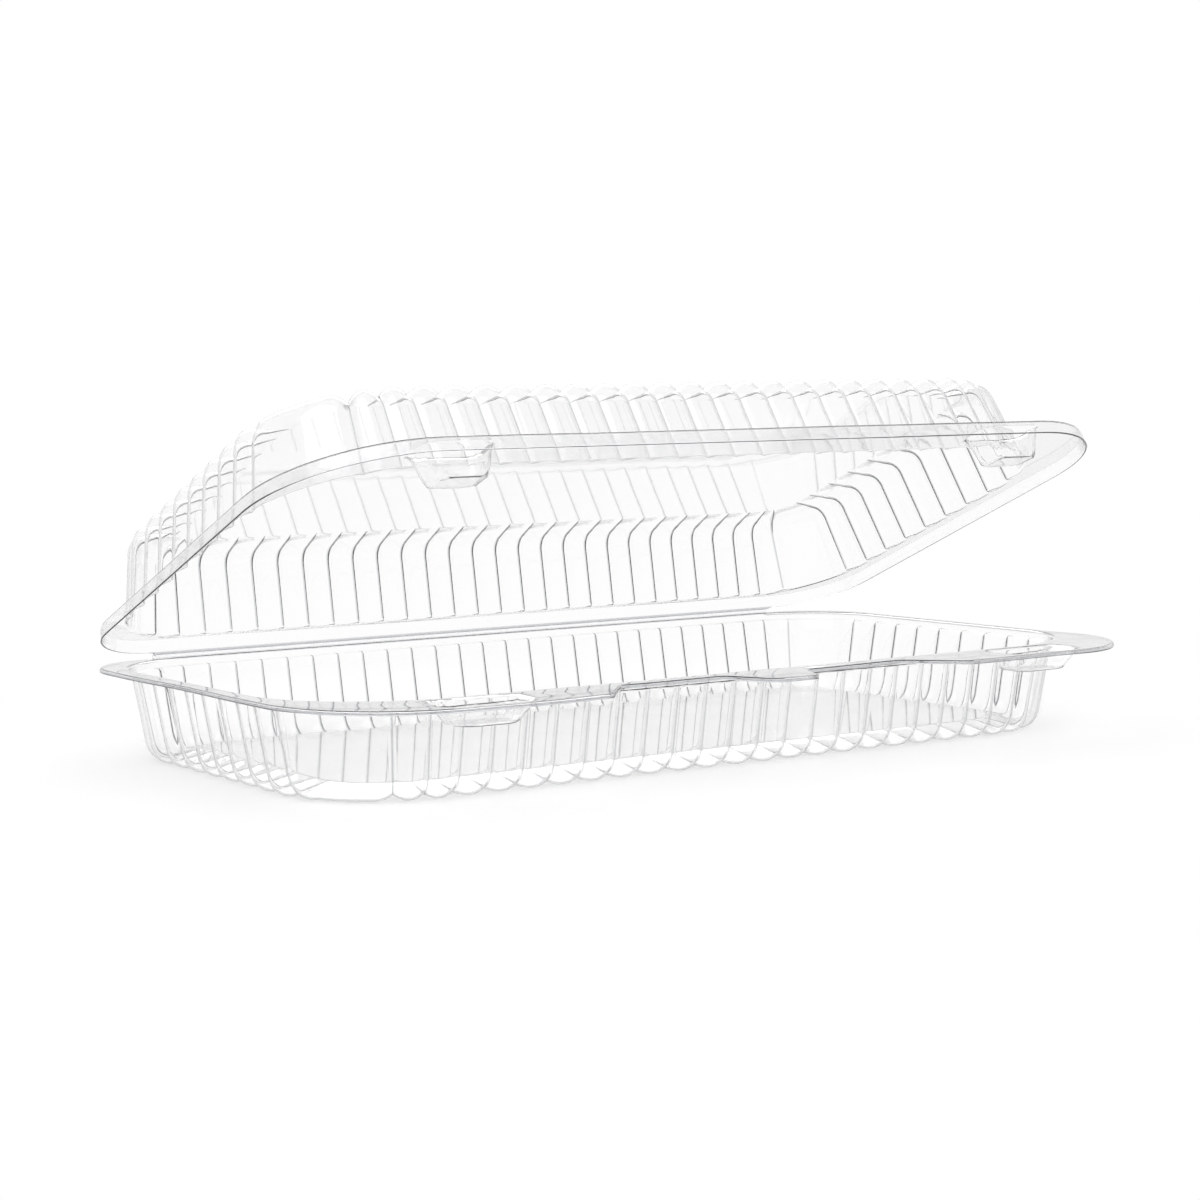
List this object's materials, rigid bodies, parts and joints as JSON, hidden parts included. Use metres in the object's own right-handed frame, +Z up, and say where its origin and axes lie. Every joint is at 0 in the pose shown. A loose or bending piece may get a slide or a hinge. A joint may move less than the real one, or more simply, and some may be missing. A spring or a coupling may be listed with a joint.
{
  "type": "plastic clamshell pack",
  "caption": "Hinged clear plastic food pack: a shallow fluted tray and a fluted dome lid on a shared back edge, with press-in locks and finger notches at the front; lid open.",
  "frame": {"origin": "on the surface the pack stands on, under the middle of the open pack's outline", "axes": "+X along the front edge to the right, +Y from the front edge to the hinge, +Z up"},
  "size_m": [0.32, 0.1942, 0.1232],
  "materials": {
    "clear_tray": "glossy clear sheet",
    "clear_lid": "glossy clear sheet"
  },
  "bodies": {
    "tray": {"base_tray": "clear_tray"},
    "lid": {"lid": "clear_lid"}
  },
  "joints": [
    {"name": "lid_hinge", "type": "hinge", "parent": "tray", "child": "lid", "pos_m": [0, 0.09639, 0.0315], "axis": [-1, 0, 0], "range_deg": [-21.8, 138]}
  ]
}
